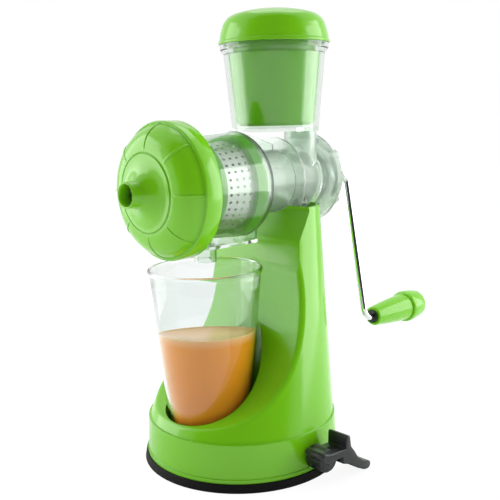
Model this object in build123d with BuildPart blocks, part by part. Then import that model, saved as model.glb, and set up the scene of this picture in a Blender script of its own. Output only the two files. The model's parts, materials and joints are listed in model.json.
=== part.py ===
"""Manual wheatgrass juicer: a clear screw-press body on a moulded suction stand.

Frame: +Z up, origin at the centre of the foot's underside. The barrel lies along Y, with the pulp
nozzle towards -Y and the crank towards +Y. The vacuum lever is on the +X side. Millimetres.
"""

import os
from math import asin, cos, degrees, radians, sin, sqrt

from build123d import *

# ---------------------------------------------------------------- driving dimensions
# Clearances
seat_gap = 0.3            # between pieces that lift or slide apart
running_gap = 0.05        # radial, shaft in bearing
pocket_gap = 1.0          # loose pieces that only drop in

# Suction foot and base
pad_radius = 78.0
pad_rim_height = 6.0
pad_rim_width = 9.0
pad_taper = 1.2
pad_web = 3.2
pad_boss_radius = 13.8
pad_boss_top = 6.5
stem_foot_radius = 9.0
stem_foot_height = 2.0
stem_neck_width = 15.0
plate_thickness = 2.6
plate_gap = 0.4
plate_hole_radius = 15.0
post_length = 4.0
post_half_width = 6.0

# Stand
flange_radius = 75.8
flange_height = 3.0
drum_radius = 74.0
drum_top = 34.4
drum_draft = 1.0
skirt_radius = 72.5
stand_top = 195.0
column_half_width = 40.0
column_rear = 69.5
column_depth = 64.0
column_corner = 30.0
stand_wall = 2.8
swoop_radius = 109.0
swoop_y = -92.0
swoop_z = 147.7
swoop_top_y = 28.5
brow_y = 38.0             # the front of the column's top, cut back under the chamber
brow_z = 192.0
brow_foot_z = 171.0
lip_round = 4.0
deck_drop = 7.0           # the seat for the body lies this far below the column's rim

# Screws
screw_radius = 1.5
screw_head_radius = 3.0
screw_head_height = 1.8
base_screw_circle = 62.0
base_screw_length = 12.0
boss_radius = 5.0
boss_height = 17.0
boss_rib = 2.4

# Cup and its pocket
cup_y = -33.5
cup_base_z = 34.8
cup_height = 119.8
cup_base_radius = 31.5
cup_rim_radius = 42.3
cup_wall = 1.8
cup_floor = 2.6
cup_lip = 0.7
cup_lip_height = 4.5
pocket_flare = 0.165

# Barrel axis and the clear body
barrel_z = 213.8
body_wall = 2.4
collar_front = -66.0
collar_rear = -52.0
collar_radius = 46.6
collar_bore = 43.4
collar_seat = -54.0
chamber_front_radius = 38.0
chamber_radius = 40.6
shoulder_front = -6.0
shoulder_rear = 10.0
barrel_radius = 24.4
barrel_bore = 22.0
barrel_rear = 74.5
ring_front = 40.0
ring_radius = 34.0
ring_thickness = 2.2
bell_front = 66.0
bell_share = 0.62         # how far along the bell its middle point lies
bell_rise = 0.24          # and how far out
disc_radius = 36.8
disc_front = 76.7
disc_rear = 79.7
rear_boss_radius = 12.5
rear_boss_length = 8.0
web_thickness = 2.2       # rib along the top of the chamber
web_height = 1.4
web_knee = 22.0
web_knee_height = 34.6
web_rear = 41.0
web_rear_height = 28.0

# Feed neck and hopper
hopper_y = 44.0
neck_x = 9.5
neck_y = 62.5
neck_radius = 13.0
neck_bore = 10.0
spigot_wall = 1.4
spigot_length = 6.0
hopper_base_z = 252.6
hopper_base_radius = 34.0
hopper_rim_z = 319.0
hopper_neck_radius = 39.6
hopper_rim_radius = 42.2
hopper_rim_height = 3.6
hopper_flare = 3.6
hopper_wall = 2.2
hopper_floor = 2.5

# Pusher and lid
pusher_gap = 1.2
pusher_lift_gap = 2.0
pusher_wall = 2.2
pusher_mouth_z = 312.0
lid_radius = 43.5
lid_height = 26.6
lid_side = 6.9
lid_crown_radius = 31.3
lid_crown_height = 23.9
lid_shoulder = 2.2
lid_wall = 2.2
lid_skirt_depth = 12.0

# Juice trough and spout
trough_half_width = 15.0
trough_front = -44.0
trough_rear = 11.0
trough_bottom = 169.5
trough_wall = 2.0
trough_corner = 6.0
trough_round = 4.0
spout_y = -32.4
spout_bottom = 158.8
spout_radius = 8.7
spout_bore = 6.9

# Foot of the body
foot_half_width = 21.0
foot_front = 44.0
foot_rear = 62.0
foot_corner = 3.0
foot_plate = 3.0
foot_rib = 2.6
foot_screw_x = 16.0
foot_screw_inset = 4.6
foot_boss_radius = 4.4
foot_screw_length = 7.0

# Front cap and gasket
gasket_thickness = 1.6
cap_rim_radius = 49.3
cap_rim_front = -71.0
cap_rim_rear = -57.0
cap_dome_radius = 47.6
cap_ring_radius = 28.3
cap_ring_y = -85.0
cap_ring_groove = 0.8
cap_bulge = 3.6
cap_wall = 2.4
cap_land = 1.0
trumpet_throat = -93.5
trumpet_waist = 6.2
nozzle_tip = -101.7
nozzle_radius = 9.3
nozzle_bore = 7.6
rib_count = 8
rib_width = 1.7
rib_height = 1.0

# Strainer and its rings
strainer_front = -42.0
strainer_rear = -8.0
strainer_front_radius = 30.0
strainer_rear_radius = 34.0
strainer_wall = 0.8
strainer_hole = 2.0
strainer_rows = 5
strainer_columns = 24
strainer_margin = 6.0
ring_wall = 3.0
ring_lap = 3.0
front_ring_flange = 2.7
rear_ring_end = -3.0
rear_ring_gap = 0.4
rear_ring_lap = 5.0
key_half_width = 4.0
key_front = -26.0
key_top = 35.0
key_thickness = 1.6

# Auger and its shaft
auger_front = -50.0
auger_nose = -66.0
auger_pitch = 24.0
flight_width = 3.4
core_nose_radius = 5.0
core_front_radius = 20.0
core_neck_radius = 10.5
core_neck_y = -2.0
core_rear_radius = 8.5
flight_root_radius = 7.0
press_flight_radius = 27.5
press_flight_front = -47.0
press_flight_rear = -5.0
feed_flight_front = 2.0
feed_flight_radius = 21.0
flight_end_gap = 1.0
auger_end_gap = 1.0
shaft_radius = 5.0
shaft_front = 20.0
shaft_rear = 103.0

# Bush, seal and rear nut
bush_radius = 8.0
bush_flange_radius = 10.5
bush_flange_thickness = 1.4
seal_thickness = 1.6
nut_radius = 29.5
nut_lobe_radius = 5.0
nut_lobe_out = 2.5
nut_lobes = 9
nut_length = 12.5
nut_round = 1.5

# Crank
crank_angle = 10.0        # from straight down, towards +X
crank_throw = 130.0
crank_y = 130.0
crank_bend = 9.0
rod_radius = 2.9
rod_seat = 8.0
rod_end = 200.0
hub_radius = 7.0
hub_front = 94.0
hub_rear = 112.0
hub_screw_y = 98.5
hub_screw_depth = 1.5
washer_front = 139.5
washer_radius = 6.0
washer_thickness = 1.2
grip_front = 141.0
grip_split = 186.0
grip_rear = 208.0
grip_front_radius = 8.4
grip_swell = 0.5
grip_split_radius = 12.2
grip_cap_radius = 14.2
grip_cap_straight = 10.0
grip_edge = 1.5

# Vacuum lever, shaft and cam
lever_z = 18.0
lever_shaft_radius = 3.0
cam_radius = 6.4
cam_throw = 2.83
cam_length = 8.0
cam_clearance = 0.25
yoke_wall = 2.5
lever_inner_x = 76.6
lever_hub_length = 15.4
lever_hub_radius = 8.8
lever_seat = 10.0
lever_bar_x = 80.0
lever_bar_width = 18.0
lever_bar_front = -5.0
lever_bar_top = 7.2
lever_bar_thickness = 3.2
lever_tab_y = 12.0
lever_tab_height = 17.0
lever_tab_thickness = 6.0
lever_knee_y = 26.0
lever_knee_drop = 3.4
lever_arm_thickness = 9.0
lever_tip_y = 37.5
lever_tip_z = -13.4
lever_tip_radius = 3.4
lever_screw_radius = 3.4

# ---------------------------------------------------------------- worked-out places
side_plane = Plane.YZ
barrel_plane = Plane((0, 0, barrel_z), x_dir=(0, 1, 0), z_dir=(1, 0, 0))
back_plane = Plane((0, 0, barrel_z), x_dir=(1, 0, 0), z_dir=(0, 1, 0))
barrel_axis = Axis((0, 0, barrel_z), (0, 1, 0))
hopper_plane = Plane((0, hopper_y, 0), x_dir=(0, 1, 0), z_dir=(1, 0, 0))
hopper_axis = Axis((0, hopper_y, 0), (0, 0, 1))
cup_plane = Plane((0, cup_y, 0), x_dir=(0, 1, 0), z_dir=(1, 0, 0))
cup_axis = Axis((0, cup_y, 0), (0, 0, 1))
grip_x = crank_throw * sin(radians(crank_angle))
grip_z = barrel_z - crank_throw * cos(radians(crank_angle))
grip_plane = Plane((grip_x, 0, grip_z), x_dir=(0, 1, 0), z_dir=(1, 0, 0))
grip_axis = Axis((grip_x, 0, grip_z), (0, 1, 0))

plate_bottom = pad_rim_height + plate_gap
plate_top = plate_bottom + plate_thickness
plate_radius = drum_radius - stand_wall - seat_gap
stem_bottom = pad_web + seat_gap
deck_z = stand_top - deck_drop
deck_bottom = deck_z - stand_wall
foot_centre = (0, (foot_front + foot_rear) / 2)
foot_screws = [
    (x, y)
    for x in (-foot_screw_x, foot_screw_x)
    for y in (foot_front + foot_screw_inset, foot_rear - foot_screw_inset)
]
inner_radius = chamber_radius - body_wall


def shoulder_radius(y):
    """Inner radius of the chamber's rounded shoulder at a place along the barrel."""
    share = (y - shoulder_front) / (shoulder_rear - body_wall - shoulder_front)
    return barrel_bore + (inner_radius - barrel_bore) * sqrt(1 - share**2)


def strainer_radius(y):
    """Outer radius of the strainer's steel cone at a place along the barrel."""
    share = (y - strainer_front) / (strainer_rear - strainer_front)
    return strainer_front_radius + share * (strainer_rear_radius - strainer_front_radius)


def cup_radius(z):
    """Outer radius of the cup at a height."""
    share = (z - cup_base_z) / cup_height
    return cup_base_radius + share * (cup_rim_radius - cup_base_radius)


# ---------------------------------------------------------------- suction pad
with BuildPart() as suction_pad:
    with BuildSketch(side_plane):
        with BuildLine():
            rim_inner = pad_radius - pad_rim_width
            well_radius = stem_foot_radius + pocket_gap
            Polyline(
                (0, 0), (pad_radius, 0), (pad_radius - pad_taper, pad_rim_height),
                (rim_inner, pad_rim_height), (rim_inner - pad_taper, pad_web),
                (pad_boss_radius, pad_web), (pad_boss_radius, pad_boss_top),
                (well_radius, pad_boss_top), (well_radius, pad_web), (0, pad_web), close=True,
            )
        make_face()
    revolve(axis=Axis.Z)

# ---------------------------------------------------------------- stem that lifts the pad's centre
cam_offset = cam_throw * sin(radians(45))
cam_z = lever_z - cam_offset
window_half = cam_radius + cam_clearance
window_front = cam_offset - window_half
window_rear = cam_throw + window_half
yoke_bottom = pad_boss_top + seat_gap
with BuildPart() as suction_stem:
    with BuildSketch(Plane.XY.offset(stem_bottom)):
        Circle(stem_foot_radius)
    extrude(amount=stem_foot_height)
    with BuildSketch(Plane.XY.offset(stem_bottom)):
        Rectangle(cam_length, stem_neck_width)
    extrude(amount=yoke_bottom - stem_bottom)
    with BuildSketch(side_plane):
        with Locations((window_front - yoke_wall, yoke_bottom)):
            Rectangle(
                window_rear - window_front + 2 * yoke_wall,
                cam_z + window_half + yoke_wall - yoke_bottom, align=Align.MIN,
            )
        with Locations((window_front, cam_z - window_half)):
            Rectangle(
                window_rear - window_front, 2 * window_half, align=Align.MIN, mode=Mode.SUBTRACT
            )
    extrude(amount=cam_length / 2, both=True)

# ---------------------------------------------------------------- base plate with the shaft's posts
with BuildPart() as base_plate:
    with BuildSketch(Plane.XY.offset(plate_bottom)):
        Circle(plate_radius)
        Circle(plate_hole_radius, mode=Mode.SUBTRACT)
        with PolarLocations(base_screw_circle, 4, start_angle=45):
            Circle(screw_radius + running_gap, mode=Mode.SUBTRACT)
    extrude(amount=plate_thickness)
    with BuildSketch(side_plane.offset(plate_hole_radius + seat_gap)) as post:
        with Locations((0, plate_bottom)):
            Rectangle(2 * post_half_width, lever_z - plate_bottom, align=(Align.CENTER, Align.MIN))
        with Locations((0, lever_z)):
            Circle(post_half_width)
            Circle(lever_shaft_radius + running_gap, mode=Mode.SUBTRACT)
    extrude(amount=post_length)
    mirror(about=side_plane)

# ---------------------------------------------------------------- stand
def stand_block(inset):
    """The stand's outer form, drawn in by a wall's thickness: once for the skin, once for the hollow."""
    with BuildPart() as block:
        with BuildSketch(Plane.XY.offset(drum_top - drum_draft)):
            side = 2 * (skirt_radius - inset)
            RectangleRounded(side, side, skirt_radius - inset - drum_draft)
        with BuildSketch(Plane.XY.offset(stand_top)):
            with Locations((0, column_rear - column_depth / 2)):
                RectangleRounded(
                    2 * (column_half_width - inset), column_depth - 2 * inset, column_corner - inset
                )
        loft(ruled=True)
        with BuildSketch(side_plane):
            with BuildLine():
                low = swoop_z - swoop_radius - inset
                reach = swoop_y + swoop_radius + inset
                slope = (swoop_top_y - swoop_y - swoop_radius) / (stand_top - swoop_z)
                Polyline(
                    (swoop_y, low), (-2 * pad_radius, low), (-2 * pad_radius, stand_top + lip_round),
                    (brow_y + inset, stand_top + lip_round), (brow_y + inset, brow_z),
                    (reach + slope * (brow_foot_z - swoop_z), brow_foot_z), (reach, swoop_z),
                )
                RadiusArc((reach, swoop_z), (swoop_y, low), swoop_radius + inset)
            make_face()
        extrude(amount=2 * pad_radius, both=True, mode=Mode.SUBTRACT)
        if inset == 0:
            rim = block.edges().filter_by(
                lambda e: e.length > column_half_width and e.geom_type != GeomType.LINE
                and e.center().Z > drum_top + lip_round and e.center().Y < brow_y
                and abs(e.center().X) > column_half_width / 2
            )
            fillet(rim, lip_round)
    return block.part


def cup_cone(grown):
    """The tapered pocket for the cup, grown all round by a wall."""
    floor_z = cup_base_z - seat_gap - grown
    floor_radius = cup_base_radius + pocket_gap + grown
    with BuildPart() as cone:
        with BuildSketch(cup_plane):
            with BuildLine():
                Polyline(
                    (0, floor_z), (floor_radius, floor_z),
                    (floor_radius + pocket_flare * (stand_top - floor_z), stand_top), (0, stand_top),
                    close=True,
                )
            make_face()
        revolve(axis=cup_axis)
    return cone.part


with BuildPart() as hollow:
    add(stand_block(stand_wall))
    with BuildSketch(Plane.XY):
        Circle(drum_radius - stand_wall)
    extrude(amount=drum_top - stand_wall)
    with BuildSketch(Plane.XY):
        Circle(skirt_radius - 2 * stand_wall)
    extrude(amount=drum_top)
    add(cup_cone(stand_wall), mode=Mode.SUBTRACT)
    with BuildSketch(Plane.XY.offset(deck_bottom)):
        Circle(pad_radius)
    extrude(amount=stand_wall, mode=Mode.SUBTRACT)

with BuildPart() as stand:
    add(stand_block(0))
    with BuildSketch(side_plane):
        with BuildLine():
            flange_top = pad_rim_height + flange_height
            Polyline(
                (0, pad_rim_height), (flange_radius, pad_rim_height), (flange_radius, flange_top),
                (drum_radius + drum_draft, flange_top), (drum_radius, drum_top), (0, drum_top),
                close=True,
            )
        make_face()
    revolve(axis=Axis.Z)
    add(cup_cone(0), mode=Mode.SUBTRACT)
    add(hollow.part, mode=Mode.SUBTRACT)
    # the saddle that the barrel, its shoulder and its ring drop into
    with BuildSketch(barrel_plane):
        with BuildLine():
            saddle_radius = barrel_radius + pocket_gap
            Polyline(
                (shoulder_rear + pocket_gap, saddle_radius), (bell_front, saddle_radius),
                (column_rear + pocket_gap, saddle_radius + pocket_gap), (column_rear + pocket_gap, 0),
                (shoulder_front, 0),
                (shoulder_front, chamber_radius + pocket_gap),
            )
            EllipticalCenterArc(
                (shoulder_front, saddle_radius), shoulder_rear + pocket_gap - shoulder_front,
                chamber_radius - barrel_radius, start_angle=0, arc_size=90,
            )
        make_face()
    revolve(axis=barrel_axis, mode=Mode.SUBTRACT)
    with BuildSketch(back_plane.offset(ring_front - pocket_gap)):
        Circle(ring_radius + pocket_gap)
    extrude(amount=ring_thickness + 2 * pocket_gap, mode=Mode.SUBTRACT)
    with BuildSketch(Plane.XY.offset(plate_top)):
        with PolarLocations(base_screw_circle, 4, start_angle=45):
            Circle(boss_radius)
            with Locations(((drum_radius - base_screw_circle) / 2, 0)):
                Rectangle(drum_radius - base_screw_circle - drum_draft, boss_rib)
    extrude(amount=boss_height)
    with BuildSketch(side_plane.offset(base_screw_circle)):
        with Locations((0, lever_z)):
            Circle(lever_shaft_radius + stand_wall)
    extrude(amount=drum_radius - base_screw_circle - drum_draft)
    with BuildSketch(side_plane.offset(base_screw_circle)):
        with Locations((0, lever_z)):
            Circle(lever_shaft_radius + running_gap)
    extrude(amount=drum_radius, mode=Mode.SUBTRACT)
    with BuildSketch(Plane.XY.offset(plate_top)):
        with PolarLocations(base_screw_circle, 4, start_angle=45):
            Circle(screw_radius)
    extrude(amount=base_screw_length, mode=Mode.SUBTRACT)
    with BuildSketch(Plane.XY.offset(deck_bottom)):
        with Locations(*foot_screws):
            Circle(screw_radius + running_gap)
    extrude(amount=stand_wall, mode=Mode.SUBTRACT)

# ---------------------------------------------------------------- screws
with BuildPart() as base_screws:
    with BuildSketch(Plane.XY.offset(plate_bottom)):
        with PolarLocations(base_screw_circle, 4, start_angle=45):
            Circle(screw_radius)
    extrude(amount=plate_thickness + base_screw_length)
    with BuildSketch(Plane.XY.offset(plate_bottom)):
        with PolarLocations(base_screw_circle, 4, start_angle=45):
            Circle(screw_head_radius)
    extrude(amount=-screw_head_height)

with BuildPart() as body_screws:
    with BuildSketch(Plane.XY.offset(deck_bottom)):
        with Locations(*foot_screws):
            Circle(screw_radius)
    extrude(amount=stand_wall + foot_screw_length)
    with BuildSketch(Plane.XY.offset(deck_bottom)):
        with Locations(*foot_screws):
            Circle(screw_head_radius)
    extrude(amount=-screw_head_height)

# ---------------------------------------------------------------- vacuum lever, its shaft and cam
with BuildPart() as lock_cam:
    with BuildSketch(side_plane):
        with Locations((cam_offset, cam_z)):
            Circle(cam_radius)
        with Locations((0, lever_z)):
            Circle(lever_shaft_radius, mode=Mode.SUBTRACT)
    extrude(amount=cam_length / 2, both=True)

shaft_end_x = plate_hole_radius + 2 * seat_gap + post_length
with BuildPart() as lock_shaft:
    with BuildSketch(side_plane.offset(-shaft_end_x)):
        with Locations((0, lever_z)):
            Circle(lever_shaft_radius)
    extrude(amount=shaft_end_x + lever_inner_x + lever_seat)

with BuildPart() as lock_lever:
    with BuildSketch(side_plane.offset(lever_inner_x)):
        with Locations((0, lever_z)):
            Circle(lever_hub_radius)
    extrude(amount=lever_hub_length)
    with BuildSketch(side_plane.offset(lever_bar_x)):
        with BuildLine():
            bar_top = lever_z + lever_bar_top
            bar_under = bar_top - lever_bar_thickness
            tab_end = lever_tab_y + lever_tab_thickness
            knee_z = lever_z - lever_knee_drop
            Polyline(
                (lever_bar_front, bar_top), (lever_tab_y, bar_top),
                (lever_tab_y, lever_z + lever_tab_height), (tab_end, lever_z + lever_tab_height),
                (tab_end, bar_top), (lever_knee_y, knee_z),
                (lever_tip_y + lever_tip_radius, lever_z + lever_tip_z),
                (lever_tip_y, lever_z + lever_tip_z - lever_tip_radius),
                (lever_knee_y, knee_z - lever_arm_thickness), (lever_hub_radius, knee_z),
                (lever_hub_radius, bar_under), (lever_bar_front, bar_under), close=True,
            )
        make_face()
        with Locations((lever_tip_y, lever_z + lever_tip_z)):
            Circle(lever_tip_radius)
    extrude(amount=lever_bar_width)
    with BuildSketch(side_plane.offset(lever_inner_x)):
        with Locations((0, lever_z)):
            Circle(lever_shaft_radius)
    extrude(amount=lever_seat, mode=Mode.SUBTRACT)

with BuildPart() as lever_screw:
    with BuildSketch(side_plane.offset(lever_inner_x + lever_hub_length)):
        with Locations((0, lever_z)):
            Circle(lever_screw_radius)
    extrude(amount=screw_head_height)
    chamfer(lever_screw.edges().sort_by(Axis.X)[-1], screw_head_height / 3)

# ---------------------------------------------------------------- juice cup
with BuildPart() as juice_cup:
    with BuildSketch(cup_plane):
        with BuildLine():
            rim_z = cup_base_z + cup_height
            lip_z = rim_z - cup_lip_height
            floor_z = cup_base_z + cup_floor
            Polyline(
                (0, cup_base_z), (cup_base_radius - cup_wall, cup_base_z),
                (cup_radius(cup_base_z + cup_wall), cup_base_z + cup_wall), (cup_radius(lip_z), lip_z),
                (cup_rim_radius + cup_lip, lip_z + cup_lip), (cup_rim_radius + cup_lip, rim_z - cup_lip),
                (cup_rim_radius, rim_z), (cup_rim_radius - cup_wall, rim_z),
                (cup_radius(floor_z) - cup_wall, floor_z), (0, floor_z), close=True,
            )
        make_face()
    revolve(axis=cup_axis)

# ---------------------------------------------------------------- clear body
with BuildPart() as juicer_body:
    with BuildSketch(barrel_plane):
        with BuildLine():
            Polyline(
                (shoulder_front, chamber_radius), (collar_rear, chamber_front_radius),
                (collar_rear, collar_radius), (collar_front, collar_radius), (collar_front, 0),
                (disc_rear + rear_boss_length, 0), (disc_rear + rear_boss_length, rear_boss_radius),
                (disc_rear, rear_boss_radius), (disc_rear, disc_radius), (disc_front, disc_radius),
            )
            ThreePointArc(
                (disc_front, disc_radius),
                (bell_front + bell_share * (disc_front - bell_front),
                 barrel_radius + bell_rise * (disc_radius - barrel_radius)),
                (bell_front, barrel_radius),
            )
            Line((bell_front, barrel_radius), (shoulder_rear, barrel_radius))
            EllipticalCenterArc(
                (shoulder_front, barrel_radius), shoulder_rear - shoulder_front,
                chamber_radius - barrel_radius, start_angle=0, arc_size=90,
            )
        make_face()
    revolve(axis=barrel_axis)
    with BuildSketch(back_plane.offset(ring_front)):
        Circle(ring_radius)
    extrude(amount=ring_thickness)
    with BuildSketch(barrel_plane):
        with BuildLine():
            Polyline(
                (collar_rear, 0), (web_rear, 0), (web_rear, web_rear_height),
                (web_knee, web_knee_height),
                (shoulder_front, chamber_radius + web_height),
                (collar_rear, chamber_radius + web_height), close=True,
            )
        make_face()
    extrude(amount=web_thickness / 2, both=True)
    with BuildSketch(Plane.XY.offset(barrel_z)):
        with Locations((neck_x, neck_y)):
            Circle(neck_radius)
    extrude(amount=hopper_base_z - seat_gap - barrel_z)
    with BuildSketch(Plane.XY.offset(trough_bottom)):
        with Locations((0, (trough_front + trough_rear) / 2)):
            RectangleRounded(2 * trough_half_width, trough_rear - trough_front, trough_corner)
    extrude(amount=barrel_z - trough_bottom)
    fillet(juicer_body.faces().sort_by(Axis.Z)[0].edges(), trough_round)
    with BuildSketch(Plane.XY.offset(spout_bottom)):
        with Locations((0, spout_y)):
            Circle(spout_radius)
    extrude(amount=barrel_z - spout_bottom)
    with BuildSketch(Plane.XY.offset(deck_z)):
        with Locations(foot_centre):
            RectangleRounded(2 * foot_half_width, foot_rear - foot_front, foot_corner)
    extrude(amount=foot_plate)
    with BuildSketch(Plane.XY.offset(deck_z)):
        with Locations(*foot_screws):
            Circle(foot_boss_radius)
        with Locations(*[(x, foot_centre[1]) for x in (-foot_screw_x, foot_screw_x)]):
            Rectangle(foot_rib, foot_rear - foot_front)
    extrude(amount=barrel_z - deck_z)
    # the bores and the hollow of the chamber
    with BuildSketch(barrel_plane):
        with BuildLine():
            Polyline(
                (shoulder_front, inner_radius), (collar_seat, chamber_front_radius - body_wall),
                (collar_seat, collar_bore), (collar_front - body_wall, collar_bore),
                (collar_front - body_wall, 0), (disc_rear + 2 * rear_boss_length, 0),
                (disc_rear + 2 * rear_boss_length, bush_radius), (barrel_rear, bush_radius),
                (barrel_rear, barrel_bore), (shoulder_rear - body_wall, barrel_bore),
            )
            EllipticalCenterArc(
                (shoulder_front, barrel_bore), shoulder_rear - body_wall - shoulder_front,
                inner_radius - barrel_bore, start_angle=0, arc_size=90,
            )
        make_face()
    revolve(axis=barrel_axis, mode=Mode.SUBTRACT)
    with BuildSketch(Plane.XY.offset(barrel_z)):
        with Locations((neck_x, neck_y)):
            Circle(neck_bore)
    extrude(amount=hopper_base_z - barrel_z, mode=Mode.SUBTRACT)
    with BuildSketch(Plane.XY.offset(hopper_base_z)):
        with Locations((neck_x, neck_y)):
            Circle(neck_bore + spigot_wall)
    extrude(amount=-spigot_length - seat_gap, mode=Mode.SUBTRACT)
    with BuildSketch(Plane.XY.offset(trough_bottom + trough_wall)):
        with Locations((0, (trough_front + trough_rear) / 2)):
            RectangleRounded(
                2 * (trough_half_width - trough_wall), trough_rear - trough_front - 2 * trough_wall,
                trough_corner - trough_wall,
            )
    extrude(amount=barrel_z - trough_bottom - trough_wall, mode=Mode.SUBTRACT)
    with BuildSketch(Plane.XY.offset(spout_bottom)):
        with Locations((0, spout_y)):
            Circle(spout_bore)
    extrude(amount=barrel_z - spout_bottom, mode=Mode.SUBTRACT)
    with BuildSketch(Plane.XY.offset(deck_z)):
        with Locations(*foot_screws):
            Circle(screw_radius)
    extrude(amount=foot_screw_length, mode=Mode.SUBTRACT)

# ---------------------------------------------------------------- hopper
flare_z = hopper_rim_z - hopper_rim_height - hopper_flare
with BuildPart() as hopper:
    with BuildSketch(hopper_plane):
        with BuildLine():
            Polyline(
                (0, hopper_base_z), (hopper_base_radius, hopper_base_z), (hopper_neck_radius, flare_z),
                (hopper_rim_radius, flare_z + hopper_flare), (hopper_rim_radius, hopper_rim_z),
                (hopper_rim_radius - hopper_wall, hopper_rim_z),
                (hopper_rim_radius - hopper_wall, flare_z + hopper_flare),
                (hopper_neck_radius - hopper_wall, flare_z),
                (hopper_base_radius - hopper_wall, hopper_base_z + hopper_floor),
                (0, hopper_base_z + hopper_floor), close=True,
            )
        make_face()
    revolve(axis=hopper_axis)
    with BuildSketch(Plane.XY.offset(hopper_base_z)):
        with Locations((neck_x, neck_y)):
            Circle(neck_bore + spigot_wall - seat_gap)
    extrude(amount=-spigot_length)
    with BuildSketch(Plane.XY.offset(hopper_base_z + hopper_floor)):
        with Locations((neck_x, neck_y)):
            Circle(neck_bore - seat_gap)
    extrude(amount=-hopper_floor - spigot_length, mode=Mode.SUBTRACT)

# ---------------------------------------------------------------- pusher and lid
taper = (hopper_neck_radius - hopper_base_radius) / (flare_z - hopper_base_z)
pusher_base_z = hopper_base_z + hopper_floor + pusher_lift_gap
pusher_base_radius = hopper_base_radius - hopper_wall - pusher_gap
pusher_mouth_radius = pusher_base_radius + taper * (pusher_mouth_z - pusher_base_z)
with BuildPart() as pusher:
    with BuildSketch(hopper_plane):
        with BuildLine():
            Polyline(
                (0, pusher_base_z), (pusher_base_radius - pusher_wall, pusher_base_z),
                (pusher_base_radius, pusher_base_z + pusher_wall),
                (pusher_mouth_radius, pusher_mouth_z),
                (pusher_mouth_radius - pusher_wall, pusher_mouth_z),
                (pusher_base_radius - pusher_wall, pusher_base_z + pusher_wall),
                (0, pusher_base_z + pusher_wall), close=True,
            )
        make_face()
    revolve(axis=hopper_axis)

lid_z = hopper_rim_z + seat_gap
lid_top = lid_z + lid_height
crown_z = lid_z + lid_crown_height


crown_rise = lid_height - lid_crown_height
crown_radius = (lid_crown_radius**2 + crown_rise**2) / (2 * crown_rise)


def lid_line(wall):
    """The lid's domed line from its side up to the axis, drawn in by a wall's thickness."""
    radius = crown_radius - wall
    reach = degrees(asin((lid_crown_radius - wall / 2) / radius))
    crown = CenterArc((0, lid_top - crown_radius), radius, 90 - reach, reach) @ 0
    side = Vector(lid_radius - wall, lid_z + lid_side)
    ThreePointArc(side, (side + crown) * 0.5 + Vector(lid_shoulder, lid_shoulder), crown)


with BuildPart() as hopper_lid:
    with BuildSketch(hopper_plane):
        with BuildLine():
            lid_line(0)
            lid_line(lid_wall)
            Polyline(
                (lid_radius, lid_z + lid_side), (lid_radius, lid_z), (lid_radius - lid_wall, lid_z),
                (lid_radius - lid_wall, lid_z + lid_side),
            )
            Line((0, lid_top), (0, lid_top - lid_wall))
        make_face()
    revolve(axis=hopper_axis)
    with BuildSketch(hopper_plane):
        with BuildLine():
            skirt_outer = pusher_mouth_radius - pusher_wall - taper * lid_skirt_depth - seat_gap
            skirt_top = crown_z - lid_wall
            Polyline(
                (skirt_outer - lid_wall, pusher_mouth_z - lid_skirt_depth),
                (skirt_outer, pusher_mouth_z - lid_skirt_depth),
                (skirt_outer, skirt_top), (skirt_outer - lid_wall, skirt_top + lid_wall / 2), close=True,
            )
        make_face()
    revolve(axis=hopper_axis)

# ---------------------------------------------------------------- strainer and its rings
with BuildPart() as strainer:
    with BuildSketch(barrel_plane):
        with BuildLine():
            Polyline(
                (strainer_front, strainer_front_radius), (strainer_rear, strainer_rear_radius),
                (strainer_rear, strainer_rear_radius - strainer_wall),
                (strainer_front, strainer_front_radius - strainer_wall), close=True,
            )
        make_face()
    revolve(axis=barrel_axis)
    row_pitch = (strainer_rear - strainer_front - 2 * strainer_margin) / (strainer_rows - 1)
    for row in range(strainer_rows):
        hole_y = strainer_front + strainer_margin + row_pitch * row
        with Locations(back_plane.offset(hole_y)):
            with PolarLocations(strainer_radius(hole_y), strainer_columns):
                Box(3 * strainer_wall, strainer_hole, strainer_hole, mode=Mode.SUBTRACT)

with BuildPart() as strainer_front_ring:
    with BuildSketch(barrel_plane):
        with BuildLine():
            flange_front = collar_seat - seat_gap - front_ring_flange
            flange_rear = collar_seat - seat_gap
            lap_y = strainer_front + ring_lap
            Polyline(
                (flange_front, strainer_front_radius - strainer_wall),
                (flange_front, collar_bore - seat_gap), (flange_rear, collar_bore - seat_gap),
                (flange_rear, strainer_front_radius + ring_wall),
                (lap_y, strainer_radius(lap_y) + ring_wall), (lap_y, strainer_radius(lap_y)),
                (strainer_front, strainer_front_radius),
                (strainer_front, strainer_front_radius - strainer_wall), close=True,
            )
        make_face()
    revolve(axis=barrel_axis)

with BuildPart() as strainer_rear_ring:
    rear_ring_radius = shoulder_radius(rear_ring_end) - rear_ring_gap
    with BuildSketch(barrel_plane):
        with BuildLine():
            lap_y = strainer_rear - rear_ring_lap
            Polyline(
                (lap_y, strainer_radius(lap_y)), (strainer_rear, strainer_rear_radius),
                (strainer_rear, strainer_rear_radius - ring_wall),
                (rear_ring_end, strainer_rear_radius - ring_wall), (rear_ring_end, rear_ring_radius),
                (lap_y, rear_ring_radius), close=True,
            )
        make_face()
    revolve(axis=barrel_axis)
    with BuildSketch(Plane.XY.offset(barrel_z - key_top - key_thickness)):
        with Locations((0, key_front)):
            Rectangle(
                2 * key_half_width, lap_y + key_thickness - key_front,
                align=(Align.CENTER, Align.MIN),
            )
    extrude(amount=key_thickness)

# ---------------------------------------------------------------- auger and its shaft
auger_rear = barrel_rear - auger_end_gap


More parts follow.
